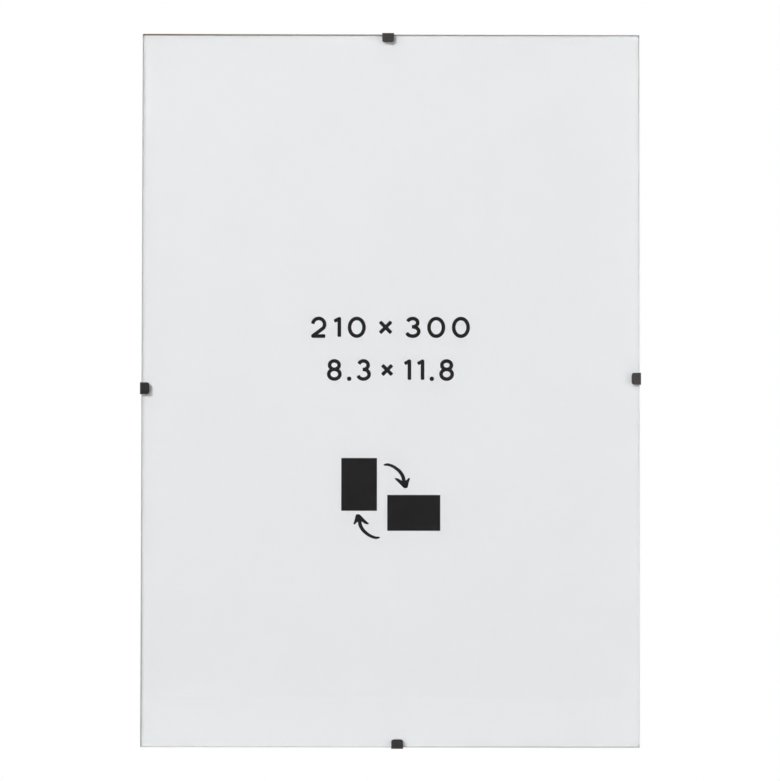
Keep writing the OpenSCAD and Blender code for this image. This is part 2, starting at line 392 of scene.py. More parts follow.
def ground_glass():
    """Seamed edges: matt and see-through, with a coarse and a fine grind. Along the top, towards the left,
    painted shade and the board's brown are painted into them; along the right edge painted light makes them lighter;
    along the bottom, towards the right, they are darker."""
    m, n = material("ground_glass_edge")
    coarse = n.noise(900, 5, 0.6)
    fine = n.noise(5200, 3, 0.6)
    chips = n.voronoi(1500)
    tint = n.ramp(n.noise(260, 3, 0.5), [(0.3, (0.60, 0.63, 0.62)), (0.7, (0.72, 0.745, 0.735))])
    sep = n.add("ShaderNodeSeparateXYZ")
    n.link(n.position(), sep.inputs[0])
    # painted shade and the board's brown, painted into the edge along the top, stronger towards the left
    painted_brown_shade = n.math("MULTIPLY", n.span(sep.outputs["X"], 0.85, 0.0, -0.105, 0.01),
                  n.span(sep.outputs["Z"], 0.0, 1.0, (CZ + BH / 2 - 2) * MM, (CZ + BH / 2 - 1) * MM))
    tint = n.mix(painted_brown_shade, tint, (0.31, 0.165, 0.065))
    # painted light: the right edge is given a lighter tint
    clean = n.span(sep.outputs["X"], 0.0, 0.7, (BX + BW / 2 - 1.5) * MM, (BX + BW / 2 - 0.6) * MM)
    tint = n.mix(clean, tint, (0.88, 0.895, 0.89))
    # darker along the bottom edge towards the right
    matt = n.math("MULTIPLY", n.span(sep.outputs["X"], 0.0, 0.65, -0.03, 0.07),
                  n.span(sep.outputs["Z"], 1.0, 0.0, (CZ - BH / 2 + 1) * MM, (CZ - BH / 2 + 2) * MM))
    tint = n.mix(matt, tint, (0.27, 0.285, 0.28))
    rough = n.span(coarse, 0.38, 0.62, 0.3, 0.7)
    height = n.math("ADD", n.math("MULTIPLY", coarse, 0.6), n.math("MULTIPLY", fine, 0.5))
    height = n.math("ADD", height, n.math("MULTIPLY", n.math("LESS_THAN", chips, 0.16), -0.25))
    normal = n.bump(height, 0.5, 0.00006)
    ground = n.principled(Base_Color=tint, Roughness=rough, IOR=1.5, Transmission_Weight=0.62, Normal=normal)
    clear = n.add("ShaderNodeBsdfTransparent")
    clear.inputs["Color"].default_value = (0.73, 0.74, 0.735, 1)
    path = n.add("ShaderNodeLightPath")
    mixer = n.add("ShaderNodeMixShader")
    n.link(path.outputs["Is Shadow Ray"], mixer.inputs[0])
    n.link(ground, mixer.inputs[1])
    n.link(clear.outputs[0], mixer.inputs[2])
    n.output(mixer.outputs[0])
    return m


def white_paper():
    """Smooth coated stock with a faint cloud and fibre."""
    m, n = material("white_paper")
    cloud = n.noise(34, 4, 0.6)
    fibre = n.noise(1500, 4, 0.7, stretch=(1, 1, 0.35))
    base = n.ramp(cloud, [(0.25, (0.838, 0.851, 0.862)), (0.75, (0.850, 0.861, 0.871))])
    speck = n.ramp(fibre, [(0.25, 0.975), (0.6, 1.0)])
    colour = n.mix(1.0, base, speck, "MULTIPLY")
    normal = n.bump(n.math("ADD", fibre, n.math("MULTIPLY", n.noise(4200, 2), 0.5)), 0.12, 0.00003)
    n.output(n.principled(Base_Color=colour, Roughness=n.span(fibre, 0.58, 0.7), Specular_IOR_Level=0.35, Normal=normal))
    return m


def black_ink():
    """Offset print: near black, a little warm, with a slightly uneven solid."""
    m, n = material("black_ink")
    grain = n.noise(1900, 5, 0.65)
    colour = n.ramp(grain, [(0.3, (0.0110, 0.0100, 0.0104)), (0.72, (0.0160, 0.0146, 0.0151))])
    rough = n.span(n.noise(420, 3), 0.62, 0.78)
    n.output(n.principled(Base_Color=colour, Roughness=rough, Specular_IOR_Level=0.12,
                          Normal=n.bump(grain, 0.1, 0.00002)))
    return m


def hardboard(kind):
    """front: smooth and tempered. back: the mesh that it was pressed on. edge: sawn fibres."""
    m, n = material("hardboard_" + kind)
    cloud = n.noise(28, 5, 0.6)
    flecks = n.noise(620, 5, 0.75, stretch=(1, 1, 0.5), distortion=0.6)
    hairs = n.noise(1500, 4, 0.7, stretch=(0.25, 1, 1.6), distortion=1.2)
    if kind == "edge":
        fibre = n.noise(2100, 5, 0.7, stretch=(0.5, 1.8, 0.5), distortion=0.5)
        colour = n.ramp(fibre, [(0.25, (0.075, 0.043, 0.022)), (0.55, (0.155, 0.092, 0.047)), (0.8, (0.25, 0.16, 0.09))])
        normal = n.bump(fibre, 0.8, 0.00012)
        n.output(n.principled(Base_Color=colour, Roughness=n.span(fibre, 0.75, 0.92), Specular_IOR_Level=0.25, Normal=normal))
        return m
    base = n.ramp(cloud, [(0.3, (0.152, 0.086, 0.043)), (0.7, (0.205, 0.120, 0.062))])
    spots = n.ramp(flecks, [(0.28, (0.66, 0.62, 0.58)), (0.5, (1.0, 1.0, 1.0)), (0.72, (1.24, 1.2, 1.15))])
    colour = n.mix(1.0, base, spots, "MULTIPLY")
    if kind == "front":
        normal = n.bump(n.math("ADD", flecks, n.math("MULTIPLY", hairs, 0.4)), 0.2, 0.00004)
        n.output(n.principled(Base_Color=colour, Roughness=n.span(flecks, 0.42, 0.6), Specular_IOR_Level=0.4, Normal=normal))
        return m
    # woven wire imprint: rounded pits 1.6 mm apart, not all pressed equally deep
    sep = n.add("ShaderNodeSeparateXYZ")
    warp = n.add("ShaderNodeVectorMath", operation="ADD")
    wob = n.add("ShaderNodeTexNoise")
    wob.inputs["Scale"].default_value = 45
    wob.inputs["Detail"].default_value = 2
    n.link(n.position(), wob.inputs["Vector"])
    scaled = n.add("ShaderNodeVectorMath", operation="SCALE")
    scaled.inputs["Scale"].default_value = 0.0011
    n.link(wob.outputs["Color"], scaled.inputs[0])
    n.link(n.position(), warp.inputs[0])
    n.link(scaled.outputs[0], warp.inputs[1])
    n.link(warp.outputs[0], sep.inputs[0])
    k = 2 * math.pi / 0.0016
    sx = n.math("SINE", n.math("MULTIPLY", sep.outputs["X"], k))
    sz = n.math("SINE", n.math("MULTIPLY", sep.outputs["Z"], k))
    weave = n.span(n.math("MULTIPLY", sx, sz), 0, 1, -1, 1)
    frayed = n.math("ADD", weave, n.span(n.noise(1100, 4, 0.7), -0.16, 0.16, 0.3, 0.7))
    pit = n.math("MULTIPLY", n.ramp(frayed, [(0.4, 0.0), (0.88, 1.0)], "EASE"), n.span(n.noise(210, 4, 0.6), 0.45, 1.1, 0.35, 0.65))
    # painted shade and light: the pits are painted darker and the flats between them a little lighter
    colour = n.mix(1.0, colour, n.ramp(pit, [(0.0, 1.08), (1.0, 0.66)]), "MULTIPLY")
    colour = n.mix(n.span(hairs, 0.0, 0.6, 0.5, 0.75), colour, (0.30, 0.20, 0.12))
    height = n.math("ADD", n.math("MULTIPLY", pit, -0.9), n.math("MULTIPLY", hairs, 0.55))
    height = n.math("ADD", height, n.math("MULTIPLY", flecks, 0.4))
    normal = n.bump(height, 0.9, 0.0003)
    n.output(n.principled(Base_Color=colour, Roughness=n.span(hairs, 0.7, 0.9), Specular_IOR_Level=0.28, Normal=normal))
    return m


def black_lacquer():
    """Stove-black spring steel: satin, faintly orange-peeled, rubbed a little on its edges, where the rub is also a
    painted highlight. Painted light makes it lighter towards the right and the top of the frame and darker towards the
    left and the bottom.
    """
    m, n = material("black_lacquer")
    peel = n.noise(1500, 3, 0.5)
    grain = n.noise(6500, 3, 0.6)
    cloud = n.noise(300, 4, 0.6)
    base = n.ramp(cloud, [(0.3, (0.036, 0.033, 0.032)), (0.7, (0.052, 0.048, 0.0465))])
    sep = n.add("ShaderNodeSeparateXYZ")
    n.link(n.position(), sep.inputs[0])
    # painted light: the lacquer is made lighter towards the right and the top and darker towards the left and the
    # bottom, as the light falls on the four clips
    painted_light_by_side = n.math("ADD", n.span(sep.outputs["X"], -0.68, 0.68, -0.105, 0.105), n.span(sep.outputs["Z"], 0.86, 1.27, (CZ - BH / 2) * MM, (CZ + BH / 2) * MM))
    base = n.mix(1.0, base, painted_light_by_side, "MULTIPLY")
    # lighter lacquer on the rounded edges: edge wear, and also a painted highlight there
    rub_and_painted_highlight = n.math("MULTIPLY", n.attribute("edge_wear_and_highlight"), n.span(n.noise(1100, 4, 0.7), 0, 1, 0.42, 0.75))
    colour = n.mix(n.math("MULTIPLY", rub_and_painted_highlight, 0.55), base, (0.16, 0.15, 0.145))
    rough = n.span(cloud, 0.36, 0.5)
    height = n.math("ADD", peel, n.math("MULTIPLY", grain, 0.3))
    n.output(n.principled(Base_Color=colour, Roughness=rough, Specular_IOR_Level=0.5,
                          Normal=n.bump(height, 0.22, 0.00003)))
    return m


def nickel(name, light, dark, low, high):
    """Bright plate on drawn wire and strip: fine streaks and a few duller clouds."""
    m, n = material(name)
    streak = n.noise(2600, 4, 0.65, stretch=(0.2, 1, 1))
    cloud = n.noise(340, 4, 0.6)
    colour = n.ramp(cloud, [(0.3, dark), (0.7, light)])
    rough = n.math("ADD", n.span(cloud, low, high, 0.25, 0.75), n.span(streak, -0.04, 0.06, 0.2, 0.8))
    n.output(n.principled(Base_Color=colour, Metallic=1.0, Roughness=rough,
                          Normal=n.bump(streak, 0.1, 0.00002)))
    return m


M_GLASS, M_GROUND = clear_glass(), ground_glass()
M_PAPER, M_INK = white_paper(), black_ink()
M_FRONT, M_BACK, M_EDGE = hardboard("front"), hardboard("back"), hardboard("edge")
M_CLIP = black_lacquer()
M_PLATE = nickel("nickel_plate", (0.80, 0.78, 0.745), (0.68, 0.665, 0.63), 0.2, 0.32)
M_RIVET = nickel("rivet_plate", (0.74, 0.72, 0.68), (0.60, 0.585, 0.55), 0.26, 0.4)


# ---------------------------------------------------------------- glass pane

def outline(w, h, dub, inset, step=6.0):
    """Points round a rectangle with dubbed corners, moved inwards by inset, and how far round each is."""
    a, b = w / 2, h / 2
    c = [(-a + dub, b), (a - dub, b), (a, b - dub), (a, -b + dub), (a - dub, -b), (-a + dub, -b), (-a, -b + dub), (-a, b - dub)]
    n = len(c)
    lines = []
    for i in range(n):
        (x0, y0), (x1, y1) = c[i], c[(i + 1) % n]
        dx, dy = unit(x1 - x0, y1 - y0)
        lines.append(((x0 + dy * inset, y0 - dx * inset), (dx, dy)))
    corners = []
    for i in range(n):
        (p, d), (q, e) = lines[i - 1], lines[i]
        det = d[0] * e[1] - d[1] * e[0]
        t = ((q[0] - p[0]) * e[1] - (q[1] - p[1]) * e[0]) / det
        corners.append((p[0] + d[0] * t, p[1] + d[1] * t))
    out = []
    for i in range(n):
        k = max(1, int(math.hypot(c[(i + 1) % n][0] - c[i][0], c[(i + 1) % n][1] - c[i][1]) // step))
        (x0, y0), (x1, y1) = corners[i], corners[(i + 1) % n]
        for j in range(k):
            out.append((x0 + (x1 - x0) * j / k, y0 + (y1 - y0) * j / k))
    return out


def make_glass():
    rnd = random.Random(21)
    n = len(outline(GW, GH, 0.3, 0))
    wob = [[0.0] * n for _ in range(2)]
    for w in wob:
        knots = [rnd.uniform(-1, 1) for _ in range(n // 4)]
        for i in range(n):
            t = i / 4
            a, b, f = knots[int(t) % len(knots)], knots[(int(t) + 1) % len(knots)], t - int(t)
            f = f * f * (3 - 2 * f)
            w[i] = a + (b - a) * f
    rings = []

    def ring(inset_of, y_of):
        base, deep = outline(GW, GH, 0.3, 0), outline(GW, GH, 0.3, 1.0)
        pts = []
        for i in range(n):
            s = inset_of(i)
            x = base[i][0] + (deep[i][0] - base[i][0]) * s
            z = base[i][1] + (deep[i][1] - base[i][1]) * s
            pts.append((BX + x, y_of(i), CZ + z))
        rings.append(pts)

    f = [0.30 + 0.03 * v for v in wob[0]]
    b = [0.30 + 0.04 * v for v in wob[1]]
    ring(lambda i: f[i], lambda i: G_FRONT)
    ring(lambda i: f[i] * 0.5 - 0.02, lambda i: G_FRONT + f[i] * 0.5 - 0.02)
    ring(lambda i: 0.0, lambda i: G_FRONT + f[i])
    ring(lambda i: 0.0, lambda i: G_BACK - b[i])
    ring(lambda i: b[i] * 0.5 - 0.02, lambda i: G_BACK - b[i] * 0.5 + 0.02)
    ring(lambda i: b[i], lambda i: G_BACK)
    verts, faces = loft(rings)
    mats = [1] * (len(faces) - 2) + [0, 0]
    return finish_mesh("glass_sheet", verts, faces, [M_GLASS, M_GROUND], mats, replaces=["glass_pane"],
                       sharp=25, weighted=False)


# ---------------------------------------------------------------- flat print

def centre_normals(pts, closed):
    n = len(pts)
    out = []
    for i in range(n):
        a = pts[(i - 1) % n] if closed or i > 0 else pts[i]
        b = pts[(i + 1) % n] if closed or i < n - 1 else pts[i]
        d = unit(b[0] - a[0], b[1] - a[1])
        out.append((-d[1], d[0]))
    return out


def stroke(pts, width, closed=False):
    """Faces that cover a stroke: width is one number or one for each point. Open ends are softly rounded."""
    w = width if hasattr(width, "__len__") else [width] * len(pts)
    nrm = centre_normals(pts, closed)
    faces, n = [], len(pts)
    for i in range(n if closed else n - 1):
        j = (i + 1) % n
        a, b, p, q = pts[i], pts[j], nrm[i], nrm[j]
        faces.append([(a[0] - p[0] * w[i] / 2, a[1] - p[1] * w[i] / 2), (b[0] - q[0] * w[j] / 2, b[1] - q[1] * w[j] / 2),
                      (b[0] + q[0] * w[j] / 2, b[1] + q[1] * w[j] / 2), (a[0] + p[0] * w[i] / 2, a[1] + p[1] * w[i] / 2)])
    if not closed:
        for k, s in ((0, -1), (n - 1, 1)):
            p, q, h = pts[k], nrm[k], w[k] / 2
            d = (q[1] * s, -q[0] * s)
            cap = []
            for i in range(9):
                a = math.pi * i / 8
                x = h * math.copysign(abs(math.cos(a)) ** 0.6, math.cos(a))
                y = h * 0.42 * abs(math.sin(a)) ** 0.6
                cap.append((p[0] + q[0] * x + d[0] * y, p[1] + q[1] * x + d[1] * y))
            faces.append(cap)
    return faces


def disc(x, y, r, n=20):
    return [(x + r * math.cos(2 * math.pi * i / n), y + r * math.sin(2 * math.pi * i / n)) for i in range(n)]


def arc(cx, cy, rx, ry, a0, a1, n=22):
    return [(cx + rx * math.cos(math.radians(a0 + (a1 - a0) * i / n)), cy + ry * math.sin(math.radians(a0 + (a1 - a0) * i / n)))
            for i in range(n + 1)]


def glyph(ch, w, h, t):
    """Stroke faces of one numeral or sign in a box w by h between the middles of its strokes."""
    f = []
    if ch == "0":
        f += stroke(arc(w / 2, h / 2, w / 2, h / 2, 0, 360, 44)[:-1], t, closed=True)
    elif ch == "1":
        f += stroke([(w, 0), (w, h * 0.5), (w, h)], t)
        f += stroke([(w, h - 0.05), (w * 0.55, h - 0.5), (0, h - 1.05)], t * 0.95)
        f.append(disc(w, h - 0.05, t * 0.47))
    elif ch == "2":
        r = w / 2
        top = arc(r, h - r, r, r, 168, -38)
        f += stroke(top + [(0.1, 0.12)], t)
        f += stroke([(0.0, 0.0), (w / 2, 0.0), (w, 0.0)], t)
        f.append(disc(0.06, 0.06, t * 0.5))
        f.append(disc(top[-1][0], top[-1][1], t * 0.5))
    elif ch == "3":
        u, l = h * 0.235, h * 0.265
        f += stroke(arc(w * 0.47, h - u, w * 0.44, u, 155, -90), t)
        f += stroke(arc(w * 0.47, l, w * 0.53, l, 90, -155), t)
    elif ch == "8":
        u, l = h * 0.232, h * 0.268
        f += stroke(arc(w / 2, h - u, w * 0.43, u, 0, 360, 36)[:-1], t, closed=True)
        f += stroke(arc(w / 2, l, w * 0.5, l, 0, 360, 36)[:-1], t, closed=True)
    elif ch == ".":
        f.append(disc(w / 2, 0.12, t * 0.62))
    elif ch == "x":
        s, m = w / 2, h / 2
        f += stroke([(0, m - s), (s, m), (w, m + s)], t)
        f += stroke([(0, m + s), (s, m), (w, m - s)], t)
    return f


def line_of_signs(text, widths, gap, space, x_mid, z_low, z_high, total, t):
    h = z_high - z_low - t
    raw = sum(space if c == " " else widths[c] + t for c in text)
    pairs = sum(1 for a, b in zip(text, text[1:]) if a != " " and b != " ")
    k = (total - raw) / max(1, pairs) if gap is None else gap
    x = x_mid - total / 2
    faces = []
    for i, c in enumerate(text):
        if c == " ":
            x += space
            continue
        for face in glyph(c, widths[c], h, t):
            faces.append([(x + t / 2 + px, z_low + t / 2 + pz) for px, pz in face])
        x += widths[c] + t
        if i + 1 < len(text) and text[i + 1] != " ":
            x += k
    return faces


def area(poly):
    return sum(a[0] * b[1] - b[0] * a[1] for a, b in zip(poly, poly[1:] + poly[:1])) / 2


def print_piece(name, polys, y_back, y_front):
    """One thin layer of ink: the union of flat shapes, given a real thickness."""
    verts, faces = [], []
    for p in polys:
        p = [q for i, q in enumerate(p) if math.hypot(q[0] - p[i - 1][0], q[1] - p[i - 1][1]) > 1e-4]
        if len(p) < 3 or abs(area(p)) < 1e-5:
            continue
        if area(p) < 0:
            p = p[::-1]
        faces.append(list(range(len(verts), len(verts) + len(p))))
        verts += [Vector(q) for q in p]
    v, e, f, _, _, origin = delaunay_2d_cdt(verts, [], faces, 1, 1e-5)
    keep = [t for t, o in zip(f, origin) if len(o)]
    bm = bmesh.new()
    bv = [bm.verts.new((x * MM, y_back * MM, z * MM)) for x, z in (askew(q.x + 0.1, q.y + 0.06) for q in v)]
    for t in keep:
        try:
            bm.faces.new([bv[i] for i in t])
        except ValueError:
            pass
    bmesh.ops.delete(bm, geom=[q for q in bm.verts if not q.link_faces], context="VERTS")
    bmesh.ops.remove_doubles(bm, verts=bm.verts, dist=2e-6)
    inner = [q for q in bm.edges if len(q.link_faces) == 2]
    bmesh.ops.dissolve_limit(bm, angle_limit=math.radians(0.6), verts=bm.verts, edges=bm.edges, use_dissolve_boundaries=False)
    bmesh.ops.triangulate(bm, faces=bm.faces)
    grown = bmesh.ops.extrude_face_region(bm, geom=list(bm.faces))
    bmesh.ops.translate(bm, verts=[g for g in grown["geom"] if isinstance(g, bmesh.types.BMVert)],
                        vec=(0, (y_front - y_back) * MM, 0))
    bmesh.ops.recalc_face_normals(bm, faces=bm.faces)
    me = bpy.data.meshes.new(name)
    bm.to_mesh(me)
    bm.free()
    me.materials.append(M_INK)
    o = bpy.data.objects.new(name, me)
    bpy.context.scene.collection.objects.link(o)
    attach(o, "frame")
    return o


def smooth_path(ctrl, widths, n=10):
    pts, w = [], []
    for i in range(len(ctrl) - 1):
        p0, p1, p2, p3 = ctrl[max(i - 1, 0)], ctrl[i], ctrl[i + 1], ctrl[min(i + 2, len(ctrl) - 1)]
        for k in range(n):
            t = k / n
            pts.append(tuple(0.5 * (2 * p1[a] + (p2[a] - p0[a]) * t + (2 * p0[a] - 5 * p1[a] + 4 * p2[a] - p3[a]) * t * t +
                                    (3 * p1[a] - p0[a] - 3 * p2[a] + p3[a]) * t ** 3) for a in (0, 1)))
            w.append(widths[i] + (widths[i + 1] - widths[i]) * t)
    return pts + [ctrl[-1]], w + [widths[-1]]


def soften(poly, share=0.2, rounds=2):
    for _ in range(rounds):
        out = []
        for a, b in zip(poly, poly[1:] + poly[:1]):
            out.append((a[0] + (b[0] - a[0]) * share, a[1] + (b[1] - a[1]) * share))
            out.append((b[0] + (a[0] - b[0]) * share, b[1] + (a[1] - b[1]) * share))
        poly = out
    return poly


def make_print():
    t = 1.55
    widths = {"0": 6.1, "1": 1.9, "2": 5.0, "3": 4.9, "8": 5.1, ".": 0.4, "x": 4.3}
    faces = line_of_signs("210 x 300", widths, None, 5.4, -0.19, 22.0, 31.0, 67.1, t)
    widths = {"0": 5.4, "1": 1.8, "2": 4.6, "3": 4.5, "8": 4.7, ".": 0.35, "x": 3.7}
    faces += line_of_signs("8.3 x 11.8", widths, None, 4.2, -0.16, 3.9, 13.1, 53.6, t)
    print_piece("print_numerals", faces, PAPER_FRONT - 0.001, PAPER_FRONT - 0.014)

    def box(x0, x1, z0, z1):
        return soften([(x0, z0), (x1, z0), (x1, z1), (x0, z1)], 0.004, 1)

    shaft, w = smooth_path([(-3.10, -31.51), (-2.41, -31.45), (-1.31, -31.36), (-0.12, -31.69), (1.20, -32.27), (2.48, -33.14),
                            (3.63, -34.12), (4.59, -35.40), (5.23, -36.72), (5.50, -38.35)],
                           [0.25, 0.92, 1.12, 1.22, 1.30, 1.38, 1.44, 1.50, 1.55, 1.60])
    head = [(5.05, -38.4), (4.18, -37.87), (3.26, -37.23), (2.07, -36.95), (1.43, -37.23), (2.80, -38.51), (4.18, -39.88),
            (5.37, -41.16), (6.01, -41.34), (6.83, -41.25), (7.20, -40.80), (7.65, -38.60), (8.20, -37.32), (7.65, -36.77),
            (6.92, -37.59), (6.28, -38.1), (5.9, -38.45)]
    arrow = stroke(shaft, w) + [soften(head, 0.22, 2)]
    turned = [[(2 * -3.797 - x, 2 * -46.77 - z) for x, z in f] for f in arrow]
    print_piece("print_pictogram", [box(-20.87, -5.79, -50.85, -28.59), box(-1.49, 20.86, -59.26, -44.13)] + arrow + turned,
                PAPER_FRONT - 0.001, PAPER_FRONT - 0.014)


def askew(x, z):
    """A point given from the sheet's middle, where the sheet really lies."""
    return ((SX0 + SX1) / 2 + x * math.cos(TURN) - z * math.sin(TURN),
            (SZ0 + SZ1) / 2 + x * math.sin(TURN) + z * math.cos(TURN))


def make_paper():
    w, h = BW - 0.7, BH - 0.7
    nx, nz = 28, 40
    rings = []
    verts, faces = [], []
    for y in (PAPER_FRONT, PAPER_BACK):
        for j in range(nz + 1):
            for i in range(nx + 1):
                x, z = askew(w * (i / nx - 0.5), h * (j / nz - 0.5))
                verts.append((x, y, z))
    m = (nx + 1) * (nz + 1)
    for j in range(nz):
        for i in range(nx):
            a = j * (nx + 1) + i
            faces.append((a, a + 1, a + nx + 2, a + nx + 1))
            faces.append((m + a, m + a + nx + 1, m + a + nx + 2, m + a + 1))
    for i in range(nx):
        faces.append((i, m + i, m + i + 1, i + 1))
        a = nz * (nx + 1) + i
        faces.append((a, a + 1, m + a + 1, m + a))
    for j in range(nz):
        a = j * (nx + 1)
        faces.append((a, a + nx + 1, m + a + nx + 1, m + a))
        a += nx
        faces.append((a, m + a, m + a + nx + 1, a + nx + 1))
    return finish_mesh("paper_sheet", verts, faces, [M_PAPER], replaces=["insert_sheet"],
                       weighted=False)


# ---------------------------------------------------------------- hardboard back

SLOT_IN, SLOT_OUT, SLOT_W = 27.25, 21.4, 19.0
HANG_P = (BX, CZ + BH / 2 - 46)
HANG_L = (BX - BW / 2 + 46, CZ)
DROP = 7.5


def round_rect(x0, x1, z0, z1, r, n=6):
    pts = []
    for cx, cz, a0 in ((x1 - r, z1 - r, 0), (x0 + r, z1 - r, 90), (x0 + r, z0 + r, 180), (x1 - r, z0 + r, 270)):
        pts += arc(cx, cz, r, r, a0, a0 + 90, n)
    return pts


def make_board():
    loops = [round_rect(BX - BW / 2 + 0.12, BX + BW / 2 - 0.12, CZ - BH / 2 + 0.12, CZ + BH / 2 - 0.12, 0.15, 3)]
    a, b = SLOT_OUT + 0.12 * -1, SLOT_IN + 0.12
    s = SLOT_W / 2 + 0.12
    top, bot, lef, rig = CZ + BH / 2, CZ - BH / 2, BX - BW / 2, BX + BW / 2
    loops.append(round_rect(BX - s, BX + s, top - b, top - a, 0.7))
    loops.append(round_rect(BX - s, BX + s, bot + a, bot + b, 0.7))
    loops.append(round_rect(lef + a, lef + b, CZ - s, CZ + s, 0.7))
    loops.append(round_rect(rig - b, rig - a, CZ - s, CZ + s, 0.7))
    for x, z in ((HANG_P[0], HANG_P[1] - DROP), (HANG_L[0] + DROP, HANG_L[1])):
        loops.append(arc(x, z, 1.57, 1.57, 0, 360, 40)[:-1])
    cu = bpy.data.curves.new("board_outline", "CURVE")
    cu.dimensions = "2D"
    cu.fill_mode = "BOTH"
    cu.extrude = (BT / 2 - 0.12) * MM
    cu.bevel_depth = 0.12 * MM
    cu.bevel_resolution = 2
    for loop in loops:
        pts = [p for i, p in enumerate(loop) if math.hypot(p[0] - loop[i - 1][0], p[1] - loop[i - 1][1]) > 1e-4]
        sp = cu.splines.new("POLY")
        sp.points.add(len(pts) - 1)
        for q, (x, z) in zip(sp.points, pts):
            q.co = (x * MM, z * MM, 0, 1)
        sp.use_cyclic_u = True
    ob = bpy.data.objects.new("board_curve", cu)
    bpy.context.scene.collection.objects.link(ob)
    ob.matrix_world = Matrix(((1, 0, 0, 0), (0, 0, 1, -BT / 2 * MM), (0, 1, 0, 0), (0, 0, 0, 1)))
    bpy.context.view_layer.update()
    me = bpy.data.meshes.new_from_object(ob.evaluated_get(bpy.context.evaluated_depsgraph_get()))
    me.transform(ob.matrix_world)
    bpy.data.objects.remove(ob)
    bpy.data.curves.remove(cu)
    me.materials.clear()
    for m in (M_FRONT, M_BACK, M_EDGE):
        me.materials.append(m)
    bm = bmesh.new()
    bm.from_mesh(me)
    bmesh.ops.remove_doubles(bm, verts=bm.verts, dist=2e-7)
    bmesh.ops.recalc_face_normals(bm, faces=bm.faces)
    for f in bm.faces:
        f.material_index = 1 if f.normal.y > 0.9 else 0 if f.normal.y < -0.9 else 2
    bm.to_mesh(me)
    bm.free()
    o = bpy.data.objects.new("board", me)
    me.name = "board"
    bpy.context.scene.collection.objects.link(o)
    # shallow recess on the sheet's side for each rivet's closed end
    for i, (x, z) in enumerate(((HANG_P[0], HANG_P[1] - DROP), (HANG_L[0] + DROP, HANG_L[1]))):
        v, f = lathe([(0, -1.9), (3.2, -1.9), (3.2, -3.2), (0, -3.2)], lambda a, h, b, x=x, z=z: (x + a, h, z + b), 64)
        cm = bpy.data.meshes.new("recess")
        cm.from_pydata([(p[0] * MM, p[1] * MM, p[2] * MM) for p in v], [], f)
        cb = bmesh.new()
        cb.from_mesh(cm)
        bmesh.ops.recalc_face_normals(cb, faces=cb.faces)
        cb.to_mesh(cm)
        cb.free()
        cm.materials.append(M_EDGE)
        cutter = bpy.data.objects.new("recess", cm)
        bpy.context.scene.collection.objects.link(cutter)
        bo = o.modifiers.new("cut", "BOOLEAN")
        bo.operation, bo.object, bo.solver = "DIFFERENCE", cutter, "EXACT"
        if hasattr(bo, "material_mode"):
            bo.material_mode = "TRANSFER"
        bpy.context.view_layer.update()
        done = bpy.data.meshes.new_from_object(o.evaluated_get(bpy.context.evaluated_depsgraph_get()))
        o.modifiers.clear()
        o.data = done
        bpy.data.objects.remove(cutter)
    o.data.name = "board"
    o.data.shade_smooth()
    o.data.set_sharp_from_angle(angle=math.radians(30))
    w = o.modifiers.new("weighted", "WEIGHTED_NORMAL")
    w.keep_sharp = True
    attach(o, "frame")
    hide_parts("backing_board")
    return o


# ---------------------------------------------------------------- spring clips

CT, SLACK, GAP = 0.4, 0.02, 0.12
HOOK_IN, ARCH, LAP = 26.75, 2.65, 3.55
FOOT = -SLOT_OUT + 2.6
WIDE = FOOT + 6.5
CLIP_LINE = [(-HOOK_IN, BT - 0.6), (-HOOK_IN, -CT / 2 - SLACK), (FOOT, -CT / 2 - SLACK), (FOOT + 3.6, -ARCH), (FOOT + 10, -ARCH),
             (-2.4, -CT / 2 - GAP), (GAP + CT / 2, -CT / 2 - GAP), (GAP + CT / 2, STACK + CT / 2 + SLACK), (-LAP, STACK + CT / 2 + SLACK)]
CLIP_BENDS = [0, 0.4, 2.2, 2.2, 2.2, 2.2, 0.4, 0.6, 0]


def plan_side():
    """Half of the back's outline, from the edge inwards, with its corners rounded."""
    pts = [(2.5, 3.0), (2.5, -3.0), (8.0, WIDE), (8.0, -HOOK_IN + 1.8), (3.5, -HOOK_IN + 1.2), (3.5, -HOOK_IN - 2)]
    line = midline(pts, [0, 2.5, 4, 0.9, 0.4, 0], seg=12, step=0.6)
    us = np.array([p[1] for p, _ in line])[::-1]
    hs = np.array([p[0] for p, _ in line])[::-1]
    return us, hs


PLAN_U, PLAN_H = plan_side()


def make_clip(name, place):
    line = midline(CLIP_LINE, CLIP_BENDS, seg=10, step=0.5)
    tip = [-1.1 * (1 - math.cos(math.radians(a))) for a in range(9, 91, 9)]
    shoulder = [2.0 + 0.09 * i for i in range(22)]
    line, dist = add_stations(line, tip + shoulder)

    def half(s, total, p):
        if p[1] > 3:                                # over the glass
            d = total - s
            return 2.5 if d >= 1.1 else 1.4 + math.sqrt(max(0.0, 1.21 - (1.1 - d) ** 2))
        if p[0] > -0.6:                             # round the edge
            return 2.5
        return float(np.interp(p[0], PLAN_U, PLAN_H))

    v, f, w = ribbon(line, dist, half, CT, place, rc=0.075, spans=8)
    return finish_mesh(name + "_steel", v, f, [M_CLIP], body=name, replaces=[name], sharp=40, edge_wear_and_highlight=w)


def make_clips():
    top, right = (CZ + BH / 2, BX + BW / 2)
    bottom, left = (CZ - BH / 2, BX - BW / 2)

    def shift(node, axis):
        a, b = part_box(node)
        return (a[axis] + b[axis]) / 2 / MM

    xt, xb, zl, zr = shift("clip_top", 0), shift("clip_bottom", 0), shift("clip_left", 2), shift("clip_right", 2)
    make_clip("clip_top", lambda u, v, w: (xt + v, -w, top + u))
    make_clip("clip_right", lambda u, v, w: (right + u, -w, zr - v))
    make_clip("clip_bottom", lambda u, v, w: (xb - v, -w, bottom - u))
    make_clip("clip_left", lambda u, v, w: (left - u, -w, zl + v))


# ---------------------------------------------------------------- ring hangers

BAR_Y, WIRE, RING_H, RING_R, BAR = 1.3, 0.75, 13.0, 2.4, 5.6
LEAN = math.asin((BAR_Y - WIRE - SLACK) / RING_H)


